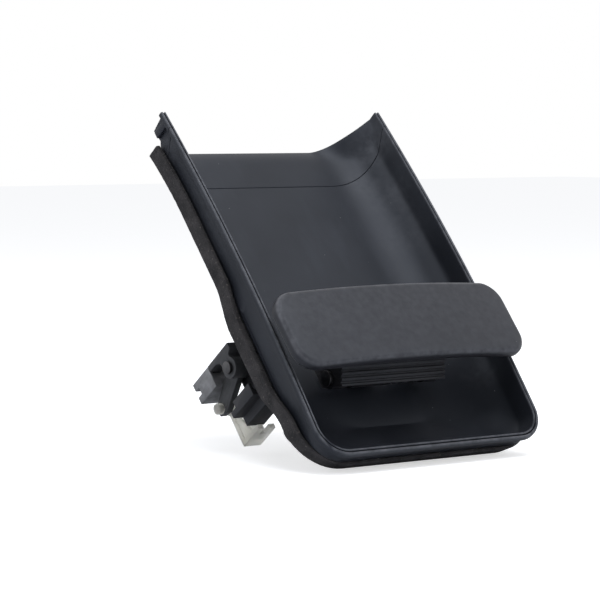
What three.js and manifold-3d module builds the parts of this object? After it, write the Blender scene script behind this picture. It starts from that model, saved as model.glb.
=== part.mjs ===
// Recessed pull handle of a van door, as it is fitted: +Z up the door, the outer face towards -Y.
// All sizes are in millimetres. Depth runs into the door, along +Y.
import * as THREE from 'three';
import { mergeVertices } from 'three/addons/utils/BufferGeometryUtils.js';
import Module from 'manifold-3d';

const wasm = await Module();
wasm.setup();

// ---- driving dimensions ----
const dishWidth = 120;
const seamHeight = 166.3; // where the end piece meets the rim
const tipHeight = 175;
const rimCorner = 14;
const rimWidth = 2.8;
const rimBulge = 3.15; // how far the rim bows out at mid height
const floorDepth = 23.4;
const wallRun = 25.7; // from the rim's inner edge to the foot of the side wall
const bottomRun = 22;
const wallPower = 2.4; // fullness of the side wall's curve
const bottomPower = 1.1;
const shellWall = 2.4;
const skirtWall = 2;
const skirtDraft = 1;
const bottomDraft = 1.5;
const seamSlope = 0.718; // how much the joint falls for each millimetre of depth
const gap = 0.3;
const tipDrop = 3; // how far the top edge falls from the tips to the floor
const lipReach = 9;
const rimThickness = 2.2;

const gasketThickness = 7.3;
const gasketWidth = 10;
const foamProud = 1; // how far the gasket stands out past the dish's sides
const foamBottom = 2.8;
const foamCorner = 20;
const foamTop = 165;

const originHeight = 108; // the centre seat, measured from the rim's bottom
const seatStandoff = 5.6; // behind the dish's floor
const seatSize = 16;
const bossRadius = 6;
const padRadius = 4.2;
const insertRadius = 3.2;
const insertBore = 2.1;
const insertLength = 5.5;

const paddleWidth = 122;
const paddleHeight = 36.5;
const paddleBottom = 34.5;
const paddleFace = 16; // how far the paddle's crown stands off the rim line
const paddleBow = 3.4;
const paddleThickness = 5.6;
const paddleCorner = 10;
const paddleSteps = 18;

const leverWidth = 56;
const pivotDepth = 13;
const pivotHeight = 44.5;
const hubRadius = 4.6;
const springRoom = 5.4;
const pinRadius = 2;
const clearance = 0.3;

const crankDepth = 41;
const crankHeight = 71;
const crankShaft = 3.2;
const crankPin = 1.5;
const crankLeft = 50;
const crankArmEnd = 53.2;
const weightBack = 67;
const noseLength = 19.9;
const eyeDepth = 60;
const eyeHeight = 63;
const eyePin = 1.6;

const carrierStandoff = 4.2; // behind the dish's floor
const carrierPlate = 2.6;
const carrierInside = 23.4; // half width between the side plates
const carrierDeep = 47;
const carrierHalf = 36;
const earInside = 18;
const crankPlateLeft = 41;
const bracketLeft = 50;
const bracketBack = 52;
const screwRadius = 1.6;
const screwLength = 7.4;
const carrierFront = floorDepth + carrierStandoff;
const seatDepth = floorDepth + seatStandoff;
const floorTopHeight = tipHeight - tipDrop;
const screwEnd = carrierFront + carrierPlate + gap + 0.5 - screwLength;

// ---- helpers ----
const materials = {
  dish: new THREE.MeshStandardMaterial({ color: 0x34363c, roughness: 0.5, metalness: 0 }),
  paddle: new THREE.MeshStandardMaterial({ color: 0x2b2c31, roughness: 0.45, metalness: 0 }),
  foam: new THREE.MeshStandardMaterial({ color: 0x3a393b, roughness: 0.95, metalness: 0 }),
  carrier: new THREE.MeshStandardMaterial({ color: 0x222326, roughness: 0.6, metalness: 0 }),
  zinc: new THREE.MeshStandardMaterial({ color: 0x8f9298, roughness: 0.5, metalness: 0.7 }),
  steel: new THREE.MeshStandardMaterial({ color: 0xb8bbc0, roughness: 0.35, metalness: 1 }),
  brass: new THREE.MeshStandardMaterial({ color: 0xb89a55, roughness: 0.35, metalness: 1 }),
  nylon: new THREE.MeshStandardMaterial({ color: 0xe9e8e0, roughness: 0.5, metalness: 0 }),
  rubber: new THREE.MeshStandardMaterial({ color: 0x1b1b1c, roughness: 0.9, metalness: 0 }),
};

const handle = new THREE.Group();
handle.position.set(0, -seatDepth, -originHeight);

function toSolid(geometry) {
  const bare = geometry.clone();
  bare.deleteAttribute('normal');
  bare.deleteAttribute('uv');
  const merged = mergeVertices(bare, 1e-4);
  const vertProperties = Float32Array.from(merged.attributes.position.array);
  const triVerts = Uint32Array.from(merged.index.array);
  return new wasm.Manifold(new wasm.Mesh({ numProp: 3, vertProperties, triVerts }));
}

function toGeometry(solid) {
  const mesh = solid.getMesh();
  const geometry = new THREE.BufferGeometry();
  geometry.setAttribute('position', new THREE.BufferAttribute(Float32Array.from(mesh.vertProperties), 3));
  geometry.setIndex(new THREE.BufferAttribute(Uint32Array.from(mesh.triVerts), 1));
  return geometry;
}

// Turns a closed surface the right way out.
function facingOut(geometry) {
  const solid = toSolid(geometry);
  if (solid.volume() > 0) return solid;
  const index = geometry.index.array;
  for (let i = 0; i < index.length; i += 3) {
    const second = index[i + 1];
    index[i + 1] = index[i + 2];
    index[i + 2] = second;
  }
  return toSolid(geometry);
}

function add(name, shape, material) {
  const geometry = shape.isBufferGeometry ? shape : toGeometry(shape);
  geometry.computeVertexNormals();
  const mesh = new THREE.Mesh(geometry, material.clone());
  mesh.name = name;
  handle.add(mesh);
}

function box(x0, x1, y0, y1, z0, z1) {
  const geometry = new THREE.BoxGeometry(x1 - x0, y1 - y0, z1 - z0);
  geometry.translate((x0 + x1) / 2, (y0 + y1) / 2, (z0 + z1) / 2);
  return toSolid(geometry);
}

// A round bar along X, from x0 to x1.
function barX(radius, x0, x1, y, z, sides = 20) {
  const geometry = new THREE.CylinderGeometry(radius, radius, x1 - x0, sides);
  geometry.rotateZ(Math.PI / 2);
  geometry.translate((x0 + x1) / 2, y, z);
  return toSolid(geometry);
}

// A round bar along Y, from y0 to y1.
function barY(radius, y0, y1, x, z, sides = 20) {
  const geometry = new THREE.CylinderGeometry(radius, radius, y1 - y0, sides);
  geometry.translate(x, (y0 + y1) / 2, z);
  return toSolid(geometry);
}

// An outline of [depth, height] points, drawn in the Y-Z plane and pushed along X.
function profileX(points, x0, x1) {
  const shape = new THREE.Shape(points.map(([y, z]) => new THREE.Vector2(y, z)));
  const geometry = new THREE.ExtrudeGeometry(shape, { depth: x1 - x0, bevelEnabled: false });
  geometry.applyMatrix4(new THREE.Matrix4().set(0, 0, 1, x0, 1, 0, 0, 0, 0, 1, 0, 0, 0, 0, 0, 1));
  return toSolid(geometry);
}

function joined(...solids) {
  return solids.reduce((whole, solid) => whole.add(solid));
}

// ---- the dish: a tub of U-shaped rings, open to the front and cut off at the top ----
const sideSteps = 16;
const cornerSteps = 6;
const tubTop = tipHeight + 25;

// One ring: its half width, its bottom, its corner radius and its depth, which may follow the height.
function tubRing(halfWidth, bottom, corner, depthAt) {
  const half = [];
  const arcTop = bottom + corner;
  for (let i = 0; i <= sideSteps; i += 1) {
    half.push([-halfWidth, tubTop + ((arcTop - tubTop) * i) / sideSteps]);
  }
  for (let i = 1; i <= cornerSteps; i += 1) {
    const turn = (i / cornerSteps) * (Math.PI / 2);
    half.push([-halfWidth + corner * (1 - Math.cos(turn)), arcTop - corner * Math.sin(turn)]);
  }
  const other = half.map(([x, z]) => [-x, z]).reverse();
  return [...half, ...other].map(([x, z]) => new THREE.Vector3(x, depthAt(z), z));
}

// Joins rings of equal count, front to back, and closes both ends with strips from side to side.
function tub(rings) {
  const count = rings[0].length;
  const positions = [];
  const index = [];
  rings.forEach((ring) => ring.forEach((p) => positions.push(p.x, p.y, p.z)));
  for (let r = 0; r + 1 < rings.length; r += 1) {
    for (let k = 0; k < count; k += 1) {
      const a = r * count + k;
      const b = r * count + ((k + 1) % count);
      index.push(a, b, b + count, a, b + count, a + count);
    }
  }
  const last = (rings.length - 1) * count;
  for (let k = 0; k + 1 < count / 2; k += 1) {
    const m = count - 1 - k;
    index.push(k, m, m - 1, k, m - 1, k + 1);
    index.push(last + k, last + m - 1, last + m, last + k, last + k + 1, last + m - 1);
  }
  const geometry = new THREE.BufferGeometry();
  geometry.setAttribute('position', new THREE.BufferAttribute(new Float32Array(positions), 3));
  geometry.setIndex(index);
  return facingOut(geometry);
}

const level = (depth) => () => depth;
const smooth = (t) => t * t * (3 - 2 * t);

// The back edge of the rim's skirt: deeper beside the mechanism, and again towards the top.
function skirtDepth(z) {
  const low = smooth(THREE.MathUtils.clamp((z - 18) / 18, 0, 1));
  const high = smooth(THREE.MathUtils.clamp((z - 68) / 22, 0, 1));
  const rise = Math.max(0, z - 125) / 40;
  return 7.5 + 4.2 * (low - high) + 3 * rise * rise;
}

// The bow of the rim. It moves everything at one height by the same amount.
function bulgeAt(z) {
  return (4 * rimBulge * z * (seamHeight - z)) / (seamHeight * seamHeight);
}

function bowed(solid) {
  return solid.warp((p) => {
    p[1] -= bulgeAt(p[2]);
  });
}

const halfDish = dishWidth / 2;
const rimInner = halfDish - rimWidth / 2 + 0.1;
const profileSteps = 9;

// The hollow of the dish, grown outwards by a wall thickness.
function hollow(wall) {
  const rings = [];
  if (wall === 0) rings.push(tubRing(rimInner, rimWidth, rimCorner - rimWidth, level(-8)));
  for (let i = 0; i <= profileSteps; i += 1) {
    const turn = (i / profileSteps) * (Math.PI / 2);
    const run = (1 - Math.cos(turn) ** (2 / wallPower)) * 0.999;
    const fall = Math.sin(turn) ** (2 / wallPower);
    const widest = halfDish - skirtDraft + wall - shellWall;
    const half = Math.min(rimInner - wallRun * run + wall, wall === 0 ? halfDish : widest);
    const climb = (1 - Math.cos(turn) ** (2 / bottomPower)) * 0.999;
    const bottom = rimWidth + bottomRun * climb - wall;
    const corner = rimCorner - rimWidth + 12 * run + wall;
    rings.push(tubRing(half, bottom, corner, level((floorDepth + wall) * fall)));
  }
  return tub(rings);
}

// The outside of the rim and skirt, filled in, with its back moved by an amount.
function rimBlock(inset, back) {
  const corner = rimCorner - inset;
  const backAt = (z) => skirtDepth(z) + bulgeAt(z) + back;
  return tub([
    tubRing(halfDish - inset, inset, corner, level(-0.01)),
    tubRing(halfDish - skirtDraft - inset, bottomDraft + inset, corner, backAt),
  ]);
}

// Everything above a plane that falls with depth.
function above(height, slope, lift) {
  const far = 90;
  const points = [
    [-far, height + slope * far + lift],
    [far, height - slope * far + lift],
    [far, 320],
    [-far, 320],
  ];
  return profileX(points, -90, 90);
}

const mouth = hollow(0);
const shell = hollow(shellWall).subtract(mouth);
const rimBand = rimBlock(0, 0).intersect(box(-80, 80, -1, rimThickness, -10, 210)).subtract(mouth);
const skirt = rimBlock(0, 0).subtract(rimBlock(skirtWall, 20)).subtract(mouth);
const rawDish = bowed(joined(shell, rimBand, skirt));

// ---- places that several pieces share ----
const upperBosses = [[-26, 136], [26, 136]];
const lowerBosses = [[-43, 29], [43, 29]];
const carrierScrews = [[-30.2, 37], [30.2, 37], [-30.2, 86], [30.2, 86]];
const opening = { half: 26, low: 44.8, high: 71 };

// ---- main dish ----
const clearOfMouth = bowed(mouth);
let dish = rawDish.subtract(above(seamHeight, seamSlope, -gap / 2));
[...upperBosses, ...lowerBosses].forEach(([x, z]) => {
  dish = dish.add(barY(bossRadius, 8, seatDepth, x, z, 24).subtract(clearOfMouth));
});
carrierScrews.forEach(([x, z]) => {
  dish = dish.add(barY(padRadius, 10, carrierFront - gap, x, z).subtract(clearOfMouth));
});
const seatHalf = seatSize / 2;
const seatPad = box(-seatHalf, seatHalf, 20.5, seatDepth, originHeight - seatHalf, originHeight + seatHalf);
dish = dish.add(seatPad.subtract(clearOfMouth));
[...upperBosses, ...lowerBosses].forEach(([x, z]) => {
  dish = dish.subtract(barY(insertRadius + clearance, seatDepth - insertLength, seatDepth + 5, x, z));
});
carrierScrews.forEach(([x, z]) => {
  dish = dish.subtract(barY(screwRadius + clearance, screwEnd - clearance, carrierFront + 5, x, z, 12));
});
dish = dish.subtract(box(-opening.half, opening.half, 15, 40, opening.low, opening.high));
add('dish_housing', dish, materials.dish);

// ---- upper end piece ----
const lipFront = floorDepth + 0.6;
const endLip = box(-35, 35, lipFront, lipFront + lipReach, floorTopHeight - 3.4, floorTopHeight - 1);
const endPiece = rawDish
  .intersect(above(seamHeight, seamSlope, gap / 2))
  .subtract(above(tipHeight, (tipHeight - floorTopHeight) / floorDepth, 0))
  .add(endLip);
add('upper_end_piece', endPiece, materials.dish);

// ---- foam seal ----
const foamHalf = dishWidth / 2 + foamProud;
const foamFront = (z) => skirtDepth(z) + bulgeAt(z) + 2 * gap;
const foamOutside = tub([
  tubRing(foamHalf, foamBottom - 2, foamCorner, foamFront),
  tubRing(foamHalf, foamBottom, foamCorner, (z) => foamFront(z) + gasketThickness),
]);
const foamInside = tub([
  tubRing(foamHalf - gasketWidth, foamBottom + gasketWidth, foamCorner - gasketWidth, level(-5)),
  tubRing(foamHalf - gasketWidth, foamBottom + gasketWidth, foamCorner - gasketWidth, level(60)),
]);
const foam = bowed(foamOutside.subtract(foamInside).subtract(hollow(shellWall + gap)))
  .subtract(box(-80, 80, -20, 60, foamTop, 240));
add('foam_seal', foam, materials.foam);

// ---- threaded inserts ----
const insertNames = ['insert_upper_left', 'insert_upper_right', 'insert_lower_left', 'insert_lower_right'];
[...upperBosses, ...lowerBosses].forEach(([x, z], i) => {
  const body = barY(insertRadius, seatDepth - insertLength + gap, seatDepth - gap, x, z);
  add(insertNames[i], body.subtract(barY(insertBore, 0, seatDepth + 5, x, z, 16)), materials.brass);
});

// ---- carrier on the back of the dish ----
const plateIn = carrierInside;
const plateOut = carrierInside + carrierPlate;
const baseBack = carrierFront + carrierPlate;
const sidePlate = [
  [carrierFront, 36],
  [36, 40],
  [carrierDeep, 62],
  [carrierDeep, 80],
  [36, 90],
  [carrierFront, 90],
];
// The ears reach forward through the dish's opening and carry the pivot pin.
const ear = [
  [baseBack, 34],
  [baseBack, 60],
  [24, 60],
  [pivotDepth, pivotHeight + 4.4],
  [pivotDepth - 3.2, pivotHeight + 3],
  [pivotDepth - 4.2, pivotHeight],
  [pivotDepth - 3.2, pivotHeight - 3],
  [pivotDepth, pivotHeight - 4.2],
  [pivotDepth + 4, pivotHeight - 2.4],
  [19.5, opening.low + 0.7],
  [carrierFront, opening.low + 0.7],
  [carrierFront, 34],
];
const earOutside = earInside + carrierPlate;
let carrier = joined(
  box(-carrierHalf, carrierHalf, carrierFront, baseBack, 31, 92)
    .subtract(box(-opening.half + 3, opening.half - 3, 0, 60, opening.low, 76)),
  profileX(sidePlate, plateIn, plateOut),
  profileX(sidePlate, -plateOut, -plateIn),
  profileX(ear, earInside, earOutside),
  profileX(ear, -earOutside, -earInside),
  box(-plateOut, plateOut, carrierDeep - carrierPlate, carrierDeep, 76.2, 80),
  box(-crankPlateLeft, -carrierHalf + 1, carrierFront, baseBack + 1, 49, 77),
  box(-crankPlateLeft, -crankPlateLeft + carrierPlate, carrierFront, 48, 49, 77),
  box(-bracketLeft, -36, 34.5, bracketBack, 52.9, 55.7),
  box(-bracketLeft + 5, -36, 34.5, bracketBack, 48.6, 53.5),
  box(-bracketLeft, -bracketLeft + 1.6, 34.5, bracketBack - 4, 55, 58.6),
);
carrier = carrier
  .subtract(barX(pinRadius + clearance, -60, 60, pivotDepth, pivotHeight))
  .subtract(barX(crankShaft + clearance, -60, 0, crankDepth, crankHeight))
  .subtract(box(-bracketLeft + 7, -41.4, 37, bracketBack + 5, 50, 52));
carrierScrews.forEach(([x, z]) => {
  carrier = carrier.subtract(barY(screwRadius + clearance, carrierFront - 5, carrierFront + 8, x, z, 12));
});
add('rear_carrier', carrier, materials.carrier);

const headFace = carrierFront + carrierPlate + gap;
carrierScrews.forEach(([x, z], i) => {
  const shank = barY(screwRadius, headFace + 0.5 - screwLength, headFace + 0.5, x, z, 12);
  const head = barY(screwRadius * 2.1, headFace, headFace + 2.2, x, z, 20);
  const recess = box(x - 0.5, x + 0.5, headFace + 1.2, headFace + 4, z - 2.2, z + 2.2);
  const cross = box(x - 2.2, x + 2.2, headFace + 1.2, headFace + 4, z - 0.5, z + 0.5);
  add(`carrier_screw_${i + 1}`, shank.add(head).subtract(recess).subtract(cross), materials.steel);
});

// ---- paddle ----
const paddleHalf = paddleWidth / 2;
const bowAt = (x) => paddleBow * (x / paddleHalf) ** 2;

// One slice of the paddle across X: a plate with round edges.
function paddleSlice(x, inset) {
  const past = Math.max(0, Math.abs(x) - (paddleHalf - paddleCorner));
  const drop = paddleCorner - Math.sqrt(Math.max(0, paddleCorner ** 2 - past ** 2));
  const low = paddleBottom + drop + inset;
  const high = paddleBottom + paddleHeight - drop - inset;
  const front = -paddleFace + bowAt(x) + inset;
  const back = -paddleFace + bowAt(x) + paddleThickness - inset / 2;
  const radius = Math.min(2.9, (back - front) / 2);
  const points = [];
  const corners = [[front, low, 2], [front, high, 1], [back, high, 0], [back, low, 3]];
  corners.forEach(([y, z, quarter]) => {
    const cy = y === front ? front + radius : back - radius;
    const cz = z === low ? low + radius : high - radius;
    for (let i = 0; i <= 3; i += 1) {
      const turn = ((quarter + 1) * Math.PI) / 2 - (i / 3) * (Math.PI / 2);
      points.push(new THREE.Vector3(x, cy + radius * Math.cos(turn), cz + radius * Math.sin(turn)));
    }
  });
  return points;
}

// Joins closed slices of equal count and closes the two ends.
function loft(slices) {
  const count = slices[0].length;
  const positions = [];
  const index = [];
  slices.forEach((slice) => slice.forEach((p) => positions.push(p.x, p.y, p.z)));
  for (let s = 0; s + 1 < slices.length; s += 1) {
    for (let k = 0; k < count; k += 1) {
      const a = s * count + k;
      const b = s * count + ((k + 1) % count);
      index.push(a, b + count, b, a, a + count, b + count);
    }
  }
  const last = (slices.length - 1) * count;
  for (let k = 1; k + 1 < count; k += 1) {
    index.push(0, k, k + 1);
    index.push(last, last + k + 1, last + k);
  }
  const geometry = new THREE.BufferGeometry();
  geometry.setAttribute('position', new THREE.BufferAttribute(new Float32Array(positions), 3));
  geometry.setIndex(index);
  return facingOut(geometry);
}

const slices = [];
for (let i = 0; i <= paddleSteps; i += 1) {
  const turn = -Math.PI / 2 + (i / paddleSteps) * Math.PI;
  const x = paddleHalf * Math.sin(turn);
  const nearEnd = Math.max(0, Math.abs(x) - (paddleHalf - 3)) / 3;
  slices.push(paddleSlice(x, 2.2 * (1 - Math.sqrt(1 - Math.min(1, nearEnd) ** 2))));
}
const leverScrews = [-16, 16];
const leverScrewHeight = 56;
const leverFace = -paddleFace + paddleThickness + bowAt(leverWidth / 2) + gap;
let paddle = loft(slices);
leverScrews.forEach((x) => {
  paddle = paddle.subtract(barY(screwRadius + clearance, leverFace - 4, 0, x, leverScrewHeight, 12));
});
add('paddle', paddle, materials.paddle);

// ---- pull lever behind the paddle ----
const leverHalf = leverWidth / 2;
const earRoom = [earInside - gap - 0.1, earOutside + gap + 0.1];
const leverPlate = [
  [leverFace, 40],
  [leverFace + 2.6, 40],
  [leverFace + 2.6, 45.5],
  [3, 43],
  [8, 37],
  [pivotDepth, pivotHeight - hubRadius],
  [pivotDepth + 4, pivotHeight - 2.4],
  [pivotDepth + 4, pivotHeight + 2.4],
  [pivotDepth, pivotHeight + hubRadius],
  [3, 50.5],
  [leverFace + 2.6, 53],
  [leverFace + 2.6, 60],
  [leverFace, 60],
];
// The lever's tail and the crank's nose meet halfway between their two pivots.
const centreRun = Math.hypot(crankDepth - pivotDepth, crankHeight - pivotHeight);
const along = [(crankDepth - pivotDepth) / centreRun, (crankHeight - pivotHeight) / centreRun];
const lineFrom = (y, z) => ([u, v]) => [y + u * along[0] - v * along[1], z + u * along[1] + v * along[0]];
const armLength = (noseLength * centreRun) / 38.55;
const tail = [
  [0, -4.4],
  [armLength - 3, -4.6],
  [armLength, -2.6],
  [armLength, -gap / 2],
  [9, -gap / 2],
  [6, 3],
  [0, 4.4],
].map(lineFrom(pivotDepth, pivotHeight));
const nose = [
  [0, 4],
  [-armLength + 2, 4.4],
  [-armLength, 3],
  [-armLength, gap / 2],
  [-9, gap / 2],
  [-6, -3],
  [0, -4],
].map(lineFrom(crankDepth, crankHeight));
let lever = joined(
  profileX(leverPlate, -leverHalf, leverHalf),
  profileX(tail, -14, 0),
  barX(hubRadius, -leverHalf, leverHalf, pivotDepth, pivotHeight, 24),
).subtract(barX(springRoom, 2.5, 15.5, pivotDepth, pivotHeight, 24));
[-1, 1].forEach((side) => {
  const [x0, x1] = side > 0 ? earRoom : [-earRoom[1], -earRoom[0]];
  lever = lever
    .subtract(barX(hubRadius + 0.4, x0, x1, pivotDepth, pivotHeight, 24))
    .subtract(box(x0, x1, pivotDepth, 60, 20, 80));
});
[0.2, 0.5, 0.8].forEach((t) => {
  lever = lever.subtract(barX(0.7, -leverHalf - 1, leverHalf + 1, 3 + 5 * t, 43 - 6 * t, 8));
});
lever = lever.subtract(barX(pinRadius + clearance, -60, 60, pivotDepth, pivotHeight));
leverScrews.forEach((x) => {
  lever = lever.subtract(barY(screwRadius + clearance, -20, leverFace + 2.7, x, leverScrewHeight, 12));
});
add('pull_lever', lever, materials.carrier);

leverScrews.forEach((x, i) => {
  const face = leverFace + 2.6 + gap;
  const shank = barY(screwRadius, face - 6.4, face + 0.5, x, leverScrewHeight, 12);
  const head = barY(screwRadius * 1.8, face, face + 1.8, x, leverScrewHeight, 20);
  add(`paddle_screw_${i + 1}`, shank.add(head), materials.steel);
});

// ---- pivot pin, its clip and the return spring ----
const pinHead = leverHalf + gap;
const pinGroove = leverHalf + gap;
const pin = joined(
  barX(pinRadius, -pinHead - 1.4, pinGroove + 2.4, pivotDepth, pivotHeight),
  barX(pinRadius + 1.3, -pinHead - 1.4, -pinHead, pivotDepth, pivotHeight),
).subtract(ringX(pinRadius + 1, pinRadius - 0.6, pinGroove, pinGroove + 1.4, pivotDepth, pivotHeight));
add('pivot_pin', pin, materials.steel);

function ringX(outer, inner, x0, x1, y, z) {
  return barX(outer, x0, x1, y, z, 24).subtract(barX(inner, x0 - 1, x1 + 1, y, z, 16));
}

// A spring clip: a ring with a gap in its lower side.
function springClip(x0, x1, y, z, shaft) {
  const cut = box(x0 - 1, x1 + 1, y - shaft * 0.55, y + shaft * 0.55, z - 3 * shaft, z);
  return ringX(shaft * 2, shaft - 0.6 + 0.2, x0, x1, y, z).subtract(cut);
}
const pivotClipAt = pinGroove + 0.25;
const pivotClip = springClip(pivotClipAt, pivotClipAt + 0.9, pivotDepth, pivotHeight, pinRadius);
add('pivot_clip', pivotClip, materials.steel);

// A torsion spring round X: close turns and two straight legs.
function torsionSpring(x0, pitch, turns, coil, wire, y, z, legs) {
  const points = [new THREE.Vector3(x0, y + legs[0][0], z + legs[0][1])];
  const steps = turns * 10;
  for (let i = 0; i <= steps; i += 1) {
    const turn = legs[2] + (i / 10) * 2 * Math.PI;
    const x = x0 + (pitch * i) / 10;
    points.push(new THREE.Vector3(x, y + coil * Math.cos(turn), z + coil * Math.sin(turn)));
  }
  points.push(new THREE.Vector3(x0 + pitch * turns, y + legs[1][0], z + legs[1][1]));
  const path = new THREE.CatmullRomCurve3(points, false, 'catmullrom', 0.3);
  const section = new THREE.Shape();
  section.absarc(0, 0, wire, 0, 2 * Math.PI);
  return new THREE.ExtrudeGeometry(section, {
    steps: steps + 8,
    curveSegments: 3,
    bevelEnabled: false,
    extrudePath: path,
  });
}
add(
  'return_spring',
  torsionSpring(4.2, 1.9, 5, pinRadius + 1.7, 0.7, pivotDepth, pivotHeight, [[14, 4.2], [8, 9.5], 0.7]),
  materials.steel,
);

// ---- counterweight crank ----
const noseRight = -3;
const crankPlate = [
  [35.7, 77.3],
  [38, 76],
  [38, 71],
  [44, 71],
  [45.5, 76],
  [48, 77.3],
  [crankArmEnd, 77.3],
  [crankArmEnd, 80],
  [35.7, 80],
];
const crankLug = [
  [40, 74.5],
  [42, 67],
  [eyeDepth - 2, eyeHeight - 3],
  [eyeDepth + 3, eyeHeight - 2],
  [eyeDepth + 3, eyeHeight + 2.5],
  [47, 73.5],
];
let crank = joined(
  profileX(crankPlate, -crankLeft, -crankLeft + 8),
  profileX(crankLug, -crankLeft + 3.5, -crankLeft + 6.5),
  box(-crankLeft + 2, -crankLeft + 6, crankArmEnd - 1, crankArmEnd + 7, 77.3, 79.3),
  barX(4.6, -crankLeft, -crankLeft + 8, crankDepth, crankHeight, 24),
  barX(crankShaft, -crankLeft, noseRight, crankDepth, crankHeight, 24),
  barX(4.4, noseRight - 8, noseRight, crankDepth, crankHeight, 20),
  profileX(nose, noseRight - 8, noseRight),
);
crank = crank
  .subtract(barX(crankPin + clearance, -60, 0, crankDepth, crankHeight, 16))
  .subtract(barX(eyePin + clearance, -60, -40, eyeDepth, eyeHeight, 16));
add('counterweight_crank', crank, materials.carrier);

const weightLeft = -crankLeft;
const weightRight = -crankLeft + 13.6;
const weight = box(weightLeft, weightRight, crankArmEnd + gap, weightBack, 70.2, 80)
  .subtract(box(-crankLeft + 2 - gap, -crankLeft + 6 + gap, 0, crankArmEnd + 7 + gap, 77.3 - gap, 79.3 + gap))
  .subtract(box(weightLeft - 1, weightRight + 1, weightBack - 3, weightBack + 1, 73.6, 76.6));
add('counterweight', weight, materials.zinc);

const crankGroove = noseRight + gap;
const crankPinEnd = crankGroove + 2.6;
const crankPinSolid = joined(
  barX(crankPin, -crankLeft - 1.6, crankPinEnd, crankDepth, crankHeight, 16),
  barX(crankPin + 1.2, -crankLeft - 1.6, -crankLeft - gap, crankDepth, crankHeight, 16),
).subtract(ringX(crankPin + 1, crankPin - 0.6, crankGroove, crankGroove + 1.4, crankDepth, crankHeight));
add('crank_pin', crankPinSolid, materials.steel);
const crankClipAt = crankGroove + 0.25;
const crankClip = springClip(crankClipAt, crankClipAt + 0.9, crankDepth, crankHeight, crankPin);
add('crank_clip', crankClip, materials.steel);
add(
  'crank_spring',
  torsionSpring(-36.6, 1.6, 5, crankShaft + 1.3, 0.55, crankDepth, crankHeight, [[3.6, -9], [4.6, -9], 0]),
  materials.steel,
);

// ---- rod clip, which holds the latch rod to the crank ----
const clipX = -crankLeft + 6.5 + gap;
const rodClip = joined(
  barX(3.3, clipX, clipX + 9, eyeDepth, eyeHeight, 20),
  box(clipX, clipX + 9, eyeDepth - 1.4, eyeDepth + 1.4, 45, eyeHeight),
  box(clipX, clipX + 9, 48, eyeDepth + 1.4, 44.4, 46.6),
  barX(eyePin, -crankLeft + 0.6, clipX + 1, eyeDepth, eyeHeight, 16),
  barX(eyePin + 0.8, -crankLeft + 0.6, -crankLeft + 3.5 - gap, eyeDepth, eyeHeight, 16),
).subtract(barX(1.5, clipX + 2, clipX + 20, eyeDepth, eyeHeight, 12))
  .subtract(box(clipX + 3, clipX + 6, 46, 52.5, 40, 50));
add('rod_clip', rodClip, materials.nylon);

// ---- rubber stop on the base plate, under the lever's tail ----
const stopTop = pivotHeight + 17 * along[1] - 4.6 * along[0] - 1.1;
add(
  'bump_stop',
  box(-12, -2, carrierFront, baseBack, opening.low + gap, stopTop),
  materials.rubber,
);

export default handle;
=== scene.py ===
from math import cos, pi, radians, sin, sqrt
import bpy
from mathutils import Matrix, Vector, noise


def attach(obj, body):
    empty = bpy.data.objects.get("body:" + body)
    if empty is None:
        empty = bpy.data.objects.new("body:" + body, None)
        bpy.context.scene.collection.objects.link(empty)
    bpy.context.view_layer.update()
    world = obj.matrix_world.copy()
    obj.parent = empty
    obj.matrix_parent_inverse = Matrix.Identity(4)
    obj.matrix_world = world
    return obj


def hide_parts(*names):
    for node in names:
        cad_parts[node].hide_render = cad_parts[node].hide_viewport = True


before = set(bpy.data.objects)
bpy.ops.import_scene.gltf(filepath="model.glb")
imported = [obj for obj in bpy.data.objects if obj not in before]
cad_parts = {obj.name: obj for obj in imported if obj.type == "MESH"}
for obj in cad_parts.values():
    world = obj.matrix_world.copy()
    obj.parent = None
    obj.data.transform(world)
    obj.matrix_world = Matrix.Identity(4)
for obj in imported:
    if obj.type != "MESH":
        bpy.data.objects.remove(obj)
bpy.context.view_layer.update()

# Pieces are shaped in millimetres, with z from the rim's bottom and y from its front, then moved to metres.
SEAT_DEPTH = 29
ORIGIN_HEIGHT = 108


def at(x, y, z):
    return Vector((x, y - SEAT_DEPTH, z - ORIGIN_HEIGHT)) / 1000


# ---- making and finishing pieces ----
def deselect():
    bpy.ops.object.select_all(action="DESELECT")


def only(obj):
    deselect()
    obj.select_set(True)
    bpy.context.view_layer.objects.active = obj


def named(name):
    obj = bpy.context.object
    obj.name = name
    obj.data.name = name
    return obj


def in_edit(obj, *steps):
    only(obj)
    bpy.ops.object.mode_set(mode="EDIT")
    for step in steps:
        step()
    bpy.ops.object.mode_set(mode="OBJECT")


def pick_all():
    bpy.ops.mesh.select_all(action="SELECT")


def merge(distance):
    return lambda: bpy.ops.mesh.remove_doubles(threshold=distance)


def outward():
    bpy.ops.mesh.normals_make_consistent(inside=False)


def block(name, x0, x1, y0, y1, z0, z1):
    deselect()
    bpy.ops.mesh.primitive_cube_add(size=1, location=((x0 + x1) / 2, (y0 + y1) / 2, (z0 + z1) / 2))
    obj = named(name)
    obj.scale = (x1 - x0, y1 - y0, z1 - z0)
    bpy.ops.object.transform_apply(location=True, rotation=True, scale=True)
    return obj


def bar_y(name, radius, y0, y1, x, z, sides=48):
    deselect()
    bpy.ops.mesh.primitive_cylinder_add(
        vertices=sides, radius=radius, depth=y1 - y0, location=(x, (y0 + y1) / 2, z), rotation=(pi / 2, 0, 0)
    )
    obj = named(name)
    bpy.ops.object.transform_apply(location=True, rotation=True, scale=True)
    return obj


def modify(obj, kind, **settings):
    only(obj)
    modifier = obj.modifiers.new(kind.title(), kind)
    for key, value in settings.items():
        setattr(modifier, key, value)
    bpy.ops.object.modifier_apply(modifier=modifier.name)
    return obj


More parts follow.
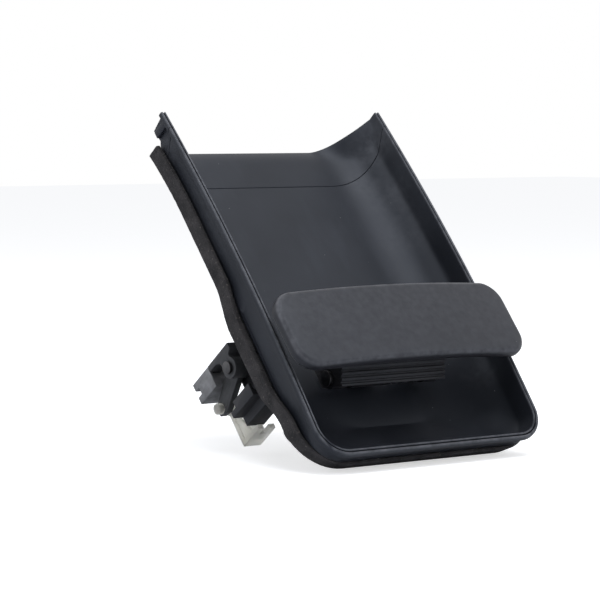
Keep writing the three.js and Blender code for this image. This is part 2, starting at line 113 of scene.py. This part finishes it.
def rounded(obj, width, segments=2, angle=35):
    return modify(
        obj, "BEVEL", width=width, segments=segments, limit_method="ANGLE",
        angle_limit=radians(angle), use_clamp_overlap=True, miter_outer="MITER_ARC",
    )


def cut(obj, tool, operation="DIFFERENCE"):
    modify(obj, "BOOLEAN", object=tool, operation=operation, solver="EXACT")
    bpy.data.objects.remove(tool, do_unlink=True)
    return obj


def join(name, *parts):
    only(parts[0])
    for part in parts:
        part.select_set(True)
    bpy.context.view_layer.objects.active = parts[0]
    bpy.ops.object.join()
    return named(name)


def copy_of(obj, name):
    twin = bpy.data.objects.new(name, obj.data.copy())
    bpy.context.scene.collection.objects.link(twin)
    twin.data.name = name
    return twin


# Cuts along a plane and closes the cut, keeping the side that the normal points away from.
def trim(obj, point, normal):
    in_edit(
        obj,
        pick_all,
        lambda: bpy.ops.mesh.bisect(
            plane_co=point, plane_no=normal, use_fill=True, clear_inner=False, clear_outer=True
        ),
    )
    return obj


# A grid whose points are placed by a rule on (column, row).
def woven(name, columns, rows, place):
    deselect()
    bpy.ops.mesh.primitive_grid_add(x_subdivisions=columns, y_subdivisions=rows, size=1)
    obj = named(name)
    for vertex in obj.data.vertices:
        column = round((vertex.co.x + 0.5) * columns)
        row = round((vertex.co.y + 0.5) * rows)
        vertex.co = place(column, row)
    return obj


def smooth_by(obj, angle=35):
    only(obj)
    bpy.ops.object.shade_smooth_by_angle(angle=radians(angle))
    return obj


def settle(obj):
    for vertex in obj.data.vertices:
        vertex.co = at(*vertex.co)
    return obj


def hand_over(obj, body, slot, material, *nodes, angle=35):
    smooth_by(obj, angle)
    obj.data.materials.clear()
    obj.data.materials.append(material)
    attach(obj, body)
    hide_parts(*nodes)
    return obj


# Writes a per-point amount, such as painted sheen or painted highlight, for a piece's finish to read.
def marked(obj, name, amount):
    layer = obj.data.attributes.new(name, "FLOAT", "POINT")
    for vertex in obj.data.vertices:
        layer.data[vertex.index].value = amount(vertex.co)
    return obj


# ---- finishes ----
class Finish:
    """A material with its coordinate, noise and bump nodes laid out by short calls."""

    def __init__(self, name, colour, roughness, metallic=0.0, **sockets):
        self.material = bpy.data.materials.new(name)
        self.material.use_nodes = True
        self.tree = self.material.node_tree
        self.shader = self.tree.nodes["Principled BSDF"]
        self.place = self.tree.nodes.new("ShaderNodeTexCoord").outputs["Object"]
        self.shader.inputs["Base Color"].default_value = (*colour, 1)
        self.shader.inputs["Roughness"].default_value = roughness
        self.shader.inputs["Metallic"].default_value = metallic
        for key, value in sockets.items():
            self.shader.inputs[key.replace("_", " ")].default_value = value
        self.height = None

    def node(self, kind, links=(), **settings):
        node = self.tree.nodes.new("ShaderNode" + kind)
        for key, value in settings.items():
            setattr(node, key, value)
        for socket, source in dict(links).items():
            if hasattr(source, "is_output"):
                self.tree.links.new(source, node.inputs[socket])
            else:
                node.inputs[socket].default_value = source
        return node

    def noise(self, scale, detail=2.0, stretch=None, roughness=0.5):
        place = self.place
        if stretch:
            place = self.node("Mapping", {"Vector": place, "Scale": stretch}).outputs[0]
        links = {"Vector": place, "Scale": scale, "Detail": detail, "Roughness": roughness}
        return self.node("TexNoise", links).outputs["Fac"]

    def cells(self, scale):
        links = {"Vector": self.place, "Scale": scale}
        return self.node("TexVoronoi", links).outputs["Distance"]

    def mark(self, name):
        return self.node("Attribute", attribute_name=name).outputs["Fac"]

    def ramp(self, source, *stops):
        ramp = self.node("ValToRGB", {"Fac": source})
        elements = ramp.color_ramp.elements
        while len(elements) < len(stops):
            elements.new(0.5)
        for element, (position, value) in zip(elements, stops):
            element.position = position
            element.color = (*value, 1) if isinstance(value, tuple) else (value, value, value, 1)
        return ramp.outputs["Color"]

    def times(self, a, b):
        return self.node("Math", {0: a, 1: b}, operation="MULTIPLY").outputs[0]

    def plus(self, a, b):
        return self.node("Math", {0: a, 1: b}, operation="ADD").outputs[0]

    def blend(self, fac, a, b):
        node = self.tree.nodes.new("ShaderNodeMix")
        node.data_type = "RGBA"
        for socket, source in zip((node.inputs[0], node.inputs[6], node.inputs[7]), (fac, a, b)):
            if hasattr(source, "is_output"):
                self.tree.links.new(source, socket)
            else:
                socket.default_value = source if isinstance(source, float) else (*source, 1)
        return node.outputs[2]

    def colour(self, source):
        self.tree.links.new(source, self.shader.inputs["Base Color"])
        return self

    def rough(self, source):
        self.tree.links.new(source, self.shader.inputs["Roughness"])
        return self

    def bump(self, source, depth, strength=1.0):
        links = {"Height": source, "Distance": depth, "Strength": strength}
        if self.height:
            links["Normal"] = self.height
        self.height = self.node("Bump", links).outputs["Normal"]
        self.tree.links.new(self.height, self.shader.inputs["Normal"])
        return self


# Grained moulding: broad shade changes, a fine leather-like grain, hazy rubbed patches and a little dust. It
# also pales with painted sheen and painted highlights where a piece's marks ask for them.
def moulded(name, dark, light, rough, grain=0.00002, haze=0.5, dust=0.0):
    finish = Finish(name, dark, rough[0], Specular_IOR_Level=0.26, Specular_Tint=(0.8, 0.87, 1.0, 1.0))
    broad = finish.noise(28.0, 3.0)
    tone = finish.blend(finish.ramp(broad, (0.35, 0.0), (0.68, 1.0)), dark, light)
    rubbed = finish.ramp(finish.noise(70.0, 5.0, stretch=(1.0, 1.0, 0.35)), (0.56, 0.0), (0.75, 1.0))
    haze_tone = tuple(min(1.0, c * 1.9 + 0.006) for c in light)
    tone = finish.blend(finish.times(rubbed, haze), tone, haze_tone)
    # Noise that breaks the painted sheen and painted highlights into patches.
    highlight_breakup = finish.ramp(finish.noise(330.0, 6.0), (0.3, 0.25), (0.72, 1.0))
    # Painted sheen: paler where the piece's sheen mark is set.
    tone = finish.blend(finish.times(finish.mark("painted_sheen"), highlight_breakup), tone, (0.085, 0.09, 0.105))
    # Painted highlight along edges and bead crests.
    tone = finish.blend(finish.times(finish.mark("painted_highlight"), highlight_breakup), tone, (0.15, 0.155, 0.175))
    if dust:
        specks = finish.ramp(finish.cells(210.0), (0.0, 1.0), (0.05, 0.0))
        where = finish.ramp(finish.noise(34.0, 2.0), (0.54, 0.0), (0.6, 1.0))
        tone = finish.blend(finish.times(finish.times(specks, where), dust), tone, (0.5, 0.5, 0.52))
    finish.colour(tone)
    spread = finish.ramp(finish.plus(broad, finish.times(rubbed, 0.4)), (0.3, rough[0]), (0.95, rough[1]))
    finish.rough(spread)
    finish.bump(finish.noise(2600.0, 2.0), grain)
    finish.bump(finish.noise(420.0, 2.0), grain * 1.6, 0.5)
    return finish.material


def soft_foam(name, dark, light):
    finish = Finish(name, dark, 0.95, Specular_IOR_Level=0.2)
    pores = finish.cells(1500.0)
    broad = finish.noise(160.0, 5.0)
    tone = finish.blend(finish.ramp(broad, (0.3, 0.0), (0.7, 1.0)), dark, light)
    fluff = finish.ramp(finish.noise(900.0, 4.0), (0.62, 0.0), (0.74, 1.0))
    tone = finish.blend(finish.times(fluff, 0.35), tone, (0.22, 0.2, 0.19))
    finish.colour(tone)
    finish.bump(pores, 0.00025)
    finish.bump(finish.noise(500.0, 4.0), 0.0003, 0.8)
    return finish.material


def metal(name, colour, rough, stain, metallic=1.0, bump=0.00001):
    finish = Finish(name, colour, rough[0], metallic)
    cloud = finish.noise(260.0, 4.0)
    finish.colour(finish.blend(finish.ramp(cloud, (0.35, 0.0), (0.75, 1.0)), colour, stain))
    finish.rough(finish.ramp(finish.noise(600.0, 3.0), (0.3, rough[0]), (0.8, rough[1])))
    finish.bump(finish.noise(1800.0, 2.0), bump)
    return finish.material


def clear_nylon(name, colour):
    finish = Finish(name, colour, 0.4, Specular_IOR_Level=0.5, Transmission_Weight=0.8, IOR=1.2)
    cloud = finish.noise(240.0, 3.0)
    finish.colour(finish.blend(finish.ramp(cloud, (0.3, 0.0), (0.8, 1.0)), colour, (0.86, 0.85, 0.79)))
    finish.rough(finish.ramp(finish.noise(700.0, 2.0), (0.3, 0.34), (0.8, 0.5)))
    finish.bump(finish.noise(1500.0, 2.0), 0.00001)
    return finish.material


DISH = moulded(
    "grained dish moulding", (0.011, 0.0125, 0.017), (0.017, 0.019, 0.025), (0.38, 0.5), haze=0.3, dust=0.7
)
PADDLE = moulded(
    "satin paddle moulding", (0.013, 0.0135, 0.017), (0.019, 0.0195, 0.024), (0.4, 0.52), haze=0.2, dust=0.5
)
CARRIER = moulded("glass filled nylon", (0.014, 0.014, 0.016), (0.028, 0.028, 0.031), (0.42, 0.6), grain=0.00003)
CRANK = moulded("grey crank moulding", (0.03, 0.031, 0.033), (0.06, 0.061, 0.064), (0.4, 0.55), haze=0.3)
FOAM = soft_foam("closed cell foam", (0.02, 0.02, 0.022), (0.045, 0.043, 0.046))
ZINC = metal("cast zinc", (0.2, 0.205, 0.22), (0.4, 0.6), (0.11, 0.113, 0.12), 0.5, 0.00005)
BLACKED = metal("blackened steel", (0.09, 0.09, 0.095), (0.3, 0.5), (0.05, 0.05, 0.052), 0.9)
STEEL = metal("zinc plated steel", (0.58, 0.59, 0.6), (0.22, 0.4), (0.42, 0.42, 0.43))
BRASS = metal("turned brass", (0.66, 0.5, 0.22), (0.2, 0.35), (0.5, 0.36, 0.15))
NYLON = clear_nylon("natural nylon", (0.97, 0.965, 0.93))
RUBBER = soft_foam("stop rubber", (0.012, 0.012, 0.013), (0.022, 0.022, 0.023))

# ---- the dish's surface ----
DISH_HALF = 60.0
SEAM_HEIGHT = 166.3
SEAM_SLOPE = 0.718
GAP = 0.3
MOUTH_HALF = 58.7
FLOOR_DEPTH = 23.4
SHELL = 2.4
WALL_RUN = 25.7
TOP = 186.0
BOW_DEPTH = 3.15
ROLL_HEIGHT = 165
ROLL = 0.034
SIDE_STEPS = 84
CORNER_STEPS = 12
FLAT_STEPS = 28
AROUND = 2 * (SIDE_STEPS + CORNER_STEPS) + FLAT_STEPS
WALL_STEPS = 22


def ease(t):
    t = min(1.0, max(0.0, t))
    return t * t * (3 - 2 * t)


def bow(z):
    return 4 * BOW_DEPTH * z * (SEAM_HEIGHT - z) / SEAM_HEIGHT ** 2


def skirt_depth(z):
    beside = ease((z - 18) / 18) - ease((z - 68) / 22)
    return 7.5 + 4.2 * beside + 3 * (max(0.0, z - 125) / 40) ** 2


# The wall's curve flattens towards the very top, so that the end piece flares.
def fullness(z):
    return 2.4 - 1.1 * ease((z - 158) / 16)


# Where a point of a U-shaped ring lies. Rings are counted down the left side, round the bottom and up the right.
def on_ring(station, half, bottom, corner):
    mirrored = station > AROUND / 2
    k = AROUND - station if mirrored else station
    side = 1 if mirrored else -1
    arc_top = bottom + corner
    if k <= SIDE_STEPS:
        return side * half, TOP + (arc_top - TOP) * k / SIDE_STEPS
    if k <= SIDE_STEPS + CORNER_STEPS:
        turn = (k - SIDE_STEPS) / CORNER_STEPS * pi / 2
        return side * (half - corner * (1 - cos(turn))), arc_top - corner * sin(turn)
    along = (k - SIDE_STEPS - CORNER_STEPS) / (FLAT_STEPS / 2)
    return side * (half - corner) * (1 - along), bottom


def height_of(station):
    return on_ring(station, DISH_HALF, 0.0, 14.0)[1]


# The wall at a turn of 0 (rim) to 1 (floor), grown outwards by a thickness. It rolls back near the top.
def wall_ring(station, turn, wall):
    z = height_of(station)
    angle = turn * pi / 2
    power = fullness(z)
    run = 1 - max(0.0, cos(angle)) ** (2 / power)
    fall = sin(angle) ** (2 / power)
    climb = 1 - max(0.0, cos(angle)) ** (2 / 1.1)
    widest = 57.1 if wall == 0 else 58.2
    half = min(MOUTH_HALF - WALL_RUN * run + wall, widest)
    x, z = on_ring(station, half, 2.8 + 22 * climb - wall, 11.2 + 12 * run + wall)
    rolled = ROLL * max(0.0, z - ROLL_HEIGHT) ** 2 * fall
    return Vector((x, (FLOOR_DEPTH + wall) * fall - bow(z) + rolled, z))


# Two beads with a groove between them, as inset from the outline and depth.
RIM = [
    (2.95, 1.2), (2.8, 0.4), (2.4, 0.02), (2.0, 0.2), (1.78, 0.75), (1.65, 1.05), (1.5, 0.75),
    (1.25, 0.2), (0.8, 0.0), (0.25, 0.3), (0.0, 1.0), (0.05, 2.2),
]


def rim_ring(station, inset, depth):
    x, z = on_ring(station, DISH_HALF - inset, inset, 14.0 - inset)
    return Vector((x, depth - bow(z), z))


# The skirt stands a step inside the rim.
SKIRT = [(1.5, 0.0), (1.7, 0.06), (1.8, 0.5), (2.0, 1.0)]


def skirt_ring(station, inset, part):
    x, z = on_ring(station, DISH_HALF - inset, 0.8 * inset, 13.0)
    depth = 2.5 + (skirt_depth(height_of(station)) + bow(z) - 2.5) * part
    return Vector((x, depth - bow(z), z))


INNER_TURNS = [1 - 0.8 * i / WALL_STEPS for i in range(WALL_STEPS + 1)]
OUTER_TURNS = [0.3 + 0.7 * i / 14 for i in range(15)]


def shell_point(station, row):
    if row < len(INNER_TURNS):
        return wall_ring(station, INNER_TURNS[row], 0)
    row -= len(INNER_TURNS)
    if row < len(RIM):
        return rim_ring(station, *RIM[row])
    row -= len(RIM)
    if row < len(SKIRT):
        return skirt_ring(station, *SKIRT[row])
    return wall_ring(station, OUTER_TURNS[row - len(SKIRT)], SHELL)


SHELL_ROWS = len(INNER_TURNS) + len(RIM) + len(SKIRT) + len(OUTER_TURNS) - 1


# The flat floor between the two side walls: its columns end on the bottom run's stations.
def floor_point(column, row, wall):
    left = wall_ring(row, 1.0, wall)
    right = wall_ring(AROUND - row, 1.0, wall)
    return left.lerp(right, column / FLAT_STEPS)


def tub_shell(name):
    wall = woven(name + " wall", AROUND, SHELL_ROWS, shell_point)
    rows = SIDE_STEPS + CORNER_STEPS
    front = woven(name + " front", FLAT_STEPS, rows, lambda c, r: floor_point(c, r, 0))
    back = woven(name + " back", FLAT_STEPS, rows, lambda c, r: floor_point(c, r, SHELL))
    tub = join(name, wall, front, back)
    in_edit(tub, pick_all, merge(0.002), outward)
    return tub


def depth_behind(dish, x, z, extra):
    hit, point, _, _ = dish.ray_cast(Vector((x, -60, z)), Vector((0, 1, 0)))
    return point.y + extra if hit else 20.0


# A post behind the dish: its front end follows the dish's surface, just inside the wall.
def rooted(dish, post, end):
    for vertex in post.data.vertices:
        if vertex.co.y < end - 1:
            vertex.co.y = depth_behind(dish, vertex.co.x, vertex.co.z, 1.2)
    return post


SEAM_SETBACK = GAP * 0.75
tub = tub_shell("tub")
seam_normal = Vector((0, SEAM_SLOPE, 1)).normalized()
tub.data.update()
dish = copy_of(tub, "dish")
trim(dish, (0, 0, SEAM_HEIGHT - SEAM_SETBACK), seam_normal)
posts = []
for x, z in ((-26, 136), (26, 136), (-43, 29), (43, 29)):
    post = rooted(tub, bar_y("boss", 6, 10, SEAT_DEPTH, x, z), SEAT_DEPTH)
    cut(post, bar_y("bore", 3.5, 23.5, 40, x, z))
    posts.append(rounded(post, 0.3))
for x in (-30.2, 30.2):
    for z in (37, 86):
        post = rooted(tub, bar_y("pad", 4.2, 10, 27.3, x, z), 27.3)
        posts.append(rounded(post, 0.3))
posts.append(rounded(rooted(tub, block("seat", -8, 8, 10, SEAT_DEPTH, 100, 116), SEAT_DEPTH), 0.4))
cut(dish, block("opening", -26, 26, 12, 45, 44.8, 71))
dish = join("dish", dish, *posts)
rounded(dish, 0.25, 2, 50)


# Spots of painted sheen on the walls, where light catches them: (x, y, z, radius, amount).
PAINTED_SHEEN_SPOTS = [
    (52, 8, 163, 13, 0.95), (46, 14, 150, 11, 0.5), (53, 9, 138, 15, 0.45), (-53, 9, 160, 9, 0.8),
    (50, 10, 118, 16, 0.3), (50, 9, 42, 11, 0.75), (-54, 10, 120, 26, 0.22), (-33, 18, 168, 9, 0.25),
]


# Painted highlight along the beads' crests.
def painted_bead_highlight(co):
    off = abs(co.y + bow(co.z) - 0.1)
    edge = abs(co.x) > 56.5 or co.z < 4
    return max(0.0, 1 - off / 0.35) * 0.8 if edge else 0.0


# How much painted sheen each point gets, fading out from each listed spot.
def painted_wall_sheen(co):
    return min(1.0, sum(a * max(0.0, 1 - (co - Vector((x, y, z))).length / r) for x, y, z, r, a in PAINTED_SHEEN_SPOTS))


# Painted highlight mark along the bead crests.
marked(dish, "painted_highlight", painted_bead_highlight)
# Painted sheen mark, read by the finish to pale the walls at these spots.
marked(dish, "painted_sheen", painted_wall_sheen)
hand_over(settle(dish), "root", "dish_plastic", DISH, "dish_housing")

# ---- upper end piece ----
end_piece = copy_of(tub, "end_piece")
trim(end_piece, (0, 0, SEAM_HEIGHT + SEAM_SETBACK), -seam_normal)
trim(end_piece, (0, 0, 175), Vector((0, 3 / FLOOR_DEPTH, 1)).normalized())
rounded(end_piece, 0.5, 3, 50)
lip = block("lip", -33, 33, 25.2, 33, 167.4, 169.6)
rounded(lip, 0.6, 3)
tab = rounded(block("tab", -59.6, -57.6, 2.5, 10.5, 168.3, 171.6), 0.4, 3)
end_piece = join("end_piece", end_piece, lip, tab)
# Painted sheen and painted highlight marks, as on the dish.
marked(end_piece, "painted_highlight", painted_bead_highlight)
marked(end_piece, "painted_sheen", painted_wall_sheen)
hand_over(settle(end_piece), "root", "dish_plastic", DISH, "upper_end_piece")
bpy.data.objects.remove(tub, do_unlink=True)


# ---- foam seal ----
def shell_half(depth):
    fall = min(1.0, max(0.0, depth / (FLOOR_DEPTH + SHELL)))
    return min(59.0, MOUTH_HALF + SHELL - WALL_RUN * (1 - (1 - fall ** 2.4) ** (1 / 2.4)))


def shell_bottom(depth):
    fall = min(1.0, max(0.0, depth / (FLOOR_DEPTH + SHELL)))
    return 0.4 + 22 * (1 - sqrt(1 - fall ** 2.4) ** (2 / 1.1))


FOAM_HALF = 61
FOAM_WIDTH = 7.3
FOAM_TOP = 165
# (how far back, inset from the outside; None follows the dish's back)
FOAM_ROWS = [
    (0.0, None), (0.0, 0.5), (0.15, 0.15), (0.6, 0.0), (3.6, 0.0), (6.6, 0.0), (7.15, 0.15),
    (FOAM_WIDTH, 0.6), (FOAM_WIDTH, None), (3.6, None), (0.0, None),
]


def foam_point(station, row):
    z = height_of(station)
    back, inset = FOAM_ROWS[row]
    depth = skirt_depth(z) + 0.6 + back
    if inset is None:
        unbowed = depth + bow(z)
        half = min(shell_half(unbowed) + 0.35, 60.2)
        bottom = max(shell_bottom(unbowed) - 0.35, 1.6)
        x, z = on_ring(station, half, bottom, 17.0)
    else:
        x, z = on_ring(station, FOAM_HALF - inset, 0.2 + 2.6 * back / FOAM_WIDTH + inset, 20 - inset)
    return Vector((x, depth, z))


foam = woven("foam", AROUND, len(FOAM_ROWS) - 1, foam_point)
in_edit(foam, pick_all, merge(0.002), outward)
trim(foam, (0, 0, FOAM_TOP), (0, 0, 1))
modify(foam, "SUBSURF", levels=1, render_levels=1, subdivision_type="SIMPLE")
foam.data.update()
for vertex in foam.data.vertices:
    wobble = noise.noise(vertex.co / 4) * 0.16 + noise.noise(vertex.co / 1.3) * 0.1
    vertex.co -= vertex.normal * abs(wobble) * ease((vertex.co.z - 2) / 14)
hand_over(settle(foam), "root", "foam", FOAM, "foam_seal", angle=60)

# ---- paddle ----
PADDLE_HALF = 61.0
PADDLE_FRONT = -16
PADDLE_BACK = -10.4
PADDLE_BOW = 3.4
PADDLE_SLICES = 40
paddle = block("paddle", -PADDLE_HALF, PADDLE_HALF, PADDLE_FRONT, PADDLE_BACK, 34.5, 71)


def pick_edges(obj, chosen):
    bpy.context.tool_settings.mesh_select_mode = (False, True, False)
    in_edit(obj, lambda: bpy.ops.mesh.select_all(action="DESELECT"))
    for edge in obj.data.edges:
        ends = [obj.data.vertices[i].co for i in edge.vertices]
        edge.select = chosen(*ends)


pick_edges(paddle, lambda a, b: abs(a.y - b.y) > 1)
in_edit(paddle, lambda: bpy.ops.mesh.bevel(offset=10, segments=14, affect="EDGES"))
pick_edges(paddle, lambda a, b: max(a.y, b.y) < PADDLE_FRONT + 0.1)
in_edit(paddle, lambda: bpy.ops.mesh.bevel(offset=2.5, segments=6, affect="EDGES"))
pick_edges(paddle, lambda a, b: min(a.y, b.y) > PADDLE_BACK - 0.1)
in_edit(paddle, lambda: bpy.ops.mesh.bevel(offset=1.7, segments=4, affect="EDGES"))
for i in range(1, PADDLE_SLICES):
    x = -PADDLE_HALF + 2 * PADDLE_HALF * i / PADDLE_SLICES
    in_edit(paddle, pick_all, lambda: bpy.ops.mesh.bisect(plane_co=(x, 0, 0), plane_no=(1, 0, 0)))
for vertex in paddle.data.vertices:
    vertex.co.y += PADDLE_BOW * (vertex.co.x / PADDLE_HALF) ** 2


# Painted highlight along the paddle's rolled edge, strongest along its top where light falls.
def painted_edge_highlight(co):
    past_face = co.y - PADDLE_FRONT - PADDLE_BOW * (co.x / PADDLE_HALF) ** 2
    return max(0.0, 1 - abs(past_face - 0.9) / 1.1) * (0.75 if co.z > 60 else 0.5)


marked(paddle, "painted_highlight", painted_edge_highlight)
hand_over(settle(paddle), "paddle", "paddle_plastic", PADDLE, "paddle")


# ---- pieces whose solid shape is right: copied, their edges rounded, and given their own finish ----
def refined(node, body, slot, material, width=0.25, angle=35, segments=2):
    piece = copy_of(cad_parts[node], node + "_piece")
    in_edit(piece, pick_all, merge(2e-6), lambda: bpy.ops.mesh.dissolve_limited(angle_limit=radians(1)))
    if width:
        rounded(piece, width / 1000, segments, angle)
    return hand_over(piece, body, slot, material, node, angle=angle)


refined("rear_carrier", "root", "carrier_plastic", CARRIER, 0.3)
refined("pull_lever", "paddle", "carrier_plastic", CARRIER, 0.3)
refined("counterweight_crank", "crank", "crank_plastic", CRANK, 0.3)
refined("counterweight", "crank", "zinc", ZINC, 0.35)
refined("bump_stop", "root", "stop_rubber", RUBBER, 0.4)
for name in ("insert_upper_left", "insert_upper_right", "insert_lower_left", "insert_lower_right"):
    refined(name, "root", "brass", BRASS, 0.2)
for i in (1, 2, 3, 4):
    refined(f"carrier_screw_{i}", "root", "steel", STEEL, 0.15)
for i in (1, 2):
    refined(f"paddle_screw_{i}", "paddle", "steel", STEEL, 0.15)
refined("pivot_pin", "root", "steel", BLACKED, 0.15)
refined("pivot_clip", "root", "steel", STEEL, 0.1)
refined("crank_pin", "crank", "steel", BLACKED, 0.15)
refined("crank_clip", "crank", "steel", STEEL, 0.1)
refined("return_spring", "root", "steel", STEEL, 0, 70)
refined("crank_spring", "root", "steel", STEEL, 0, 70)

# ---- rod clip: a web joins its upright and its foot ----
clip = copy_of(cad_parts["rod_clip"], "rod_clip_piece")
in_edit(clip, pick_all, merge(2e-6), lambda: bpy.ops.mesh.dissolve_limited(angle_limit=radians(1)))
rounded(clip, 0.00035)
web = block("web", -42.9, -41.7, 52.8, 61.2, 44.8, 60)
trim(web, (0, 52.8, 47.4), Vector((0, -13, 6)).normalized())
clip = join("rod_clip_piece", clip, settle(rounded(web, 0.25)))
hand_over(clip, "rod_clip", "nylon", NYLON, "rod_clip")

# ---- floor, light and camera ----
UP = Vector((0, -0.6311, 0.7757))
FORWARD = Vector((0.6189, 0.6490, 0.4425))
RIGHT = Vector((0.7844, -0.4811, -0.3914))
DOWN = Vector((-0.0411, 0.5894, -0.8068))
CENTRE = Vector((0, -0.012, -0.02))
FLOOR_LEVEL = -0.0738

deselect()
bpy.ops.mesh.primitive_plane_add(size=8)
floor = named("floor")
floor.data.transform(Matrix.Translation(UP * FLOOR_LEVEL) @ UP.to_track_quat("Z", "Y").to_matrix().to_4x4())
pale = bpy.data.materials.new("pale floor")
pale.use_nodes = True
tree = pale.node_tree
tree.nodes.remove(tree.nodes["Principled BSDF"])
diffuse = tree.nodes.new("ShaderNodeBsdfDiffuse")
diffuse.inputs["Color"].default_value = (0.84, 0.86, 0.9, 1)
glow = tree.nodes.new("ShaderNodeEmission")
path = tree.nodes.new("ShaderNodeLightPath")
lift = tree.nodes.new("ShaderNodeMath")
lift.operation = "MULTIPLY"
lift.inputs[1].default_value = 0.58
tree.links.new(path.outputs["Is Camera Ray"], lift.inputs[0])
tree.links.new(lift.outputs[0], glow.inputs["Strength"])
both = tree.nodes.new("ShaderNodeAddShader")
tree.links.new(diffuse.outputs[0], both.inputs[0])
tree.links.new(glow.outputs[0], both.inputs[1])
behind = tree.nodes.new("ShaderNodeNewGeometry")
through = tree.nodes.new("ShaderNodeBsdfTransparent")
choose = tree.nodes.new("ShaderNodeMixShader")
tree.links.new(behind.outputs["Backfacing"], choose.inputs[0])
tree.links.new(both.outputs[0], choose.inputs[1])
tree.links.new(through.outputs[0], choose.inputs[2])
tree.links.new(choose.outputs[0], tree.nodes["Material Output"].inputs["Surface"])
floor.data.materials.append(pale)

world = bpy.data.worlds.new("studio")
bpy.context.scene.world = world
world.use_nodes = True
tree = world.node_tree
sky = tree.nodes["Background"]
sky.inputs["Color"].default_value = (1, 1, 1, 1)
path = tree.nodes.new("ShaderNodeLightPath")
seen = tree.nodes.new("ShaderNodeMath")
seen.operation = "MAXIMUM"
tree.links.new(path.outputs["Is Camera Ray"], seen.inputs[0])
clear = tree.nodes.new("ShaderNodeMath")
clear.operation = "MAXIMUM"
tree.links.new(path.outputs["Is Transmission Ray"], clear.inputs[0])
tree.links.new(path.outputs["Is Glossy Ray"], clear.inputs[1])
tree.links.new(clear.outputs[0], seen.inputs[1])
level = tree.nodes.new("ShaderNodeMapRange")
level.inputs["To Min"].default_value = 0.42
level.inputs["To Max"].default_value = 1.0
tree.links.new(seen.outputs[0], level.inputs["Value"])
tree.links.new(level.outputs[0], sky.inputs["Strength"])


def softbox(name, where, size, power):
    lamp = bpy.data.lights.new(name, "AREA")
    lamp.shape = "RECTANGLE"
    lamp.size = size[0]
    lamp.size_y = size[1]
    lamp.energy = power
    obj = bpy.data.objects.new(name, lamp)
    bpy.context.scene.collection.objects.link(obj)
    obj.location = where
    obj.rotation_euler = (CENTRE - where).to_track_quat("-Z", "Y").to_euler()


softbox("overhead", CENTRE + UP * 0.95 - FORWARD * 0.25 + RIGHT * 0.15, (0.9, 0.7), 7)
softbox("left", CENTRE - RIGHT * 0.9 - FORWARD * 0.5 + UP * 0.45, (0.6, 0.8), 3)
softbox("right", CENTRE + RIGHT * 0.9 - FORWARD * 0.3 + UP * 0.5, (0.6, 0.8), 3)

camera = bpy.data.objects.new("camera", bpy.data.cameras.new("camera"))
bpy.context.scene.collection.objects.link(camera)
camera.data.lens = 161.97
camera.data.sensor_width = 36
camera.data.clip_end = 20
axes = Matrix((RIGHT, -DOWN, -FORWARD)).transposed().to_4x4()
camera.matrix_world = Matrix.Translation(Vector((-0.7196, -0.7463, -0.5220))) @ axes
bpy.context.scene.camera = camera
bpy.context.scene.view_settings.view_transform = "Standard"
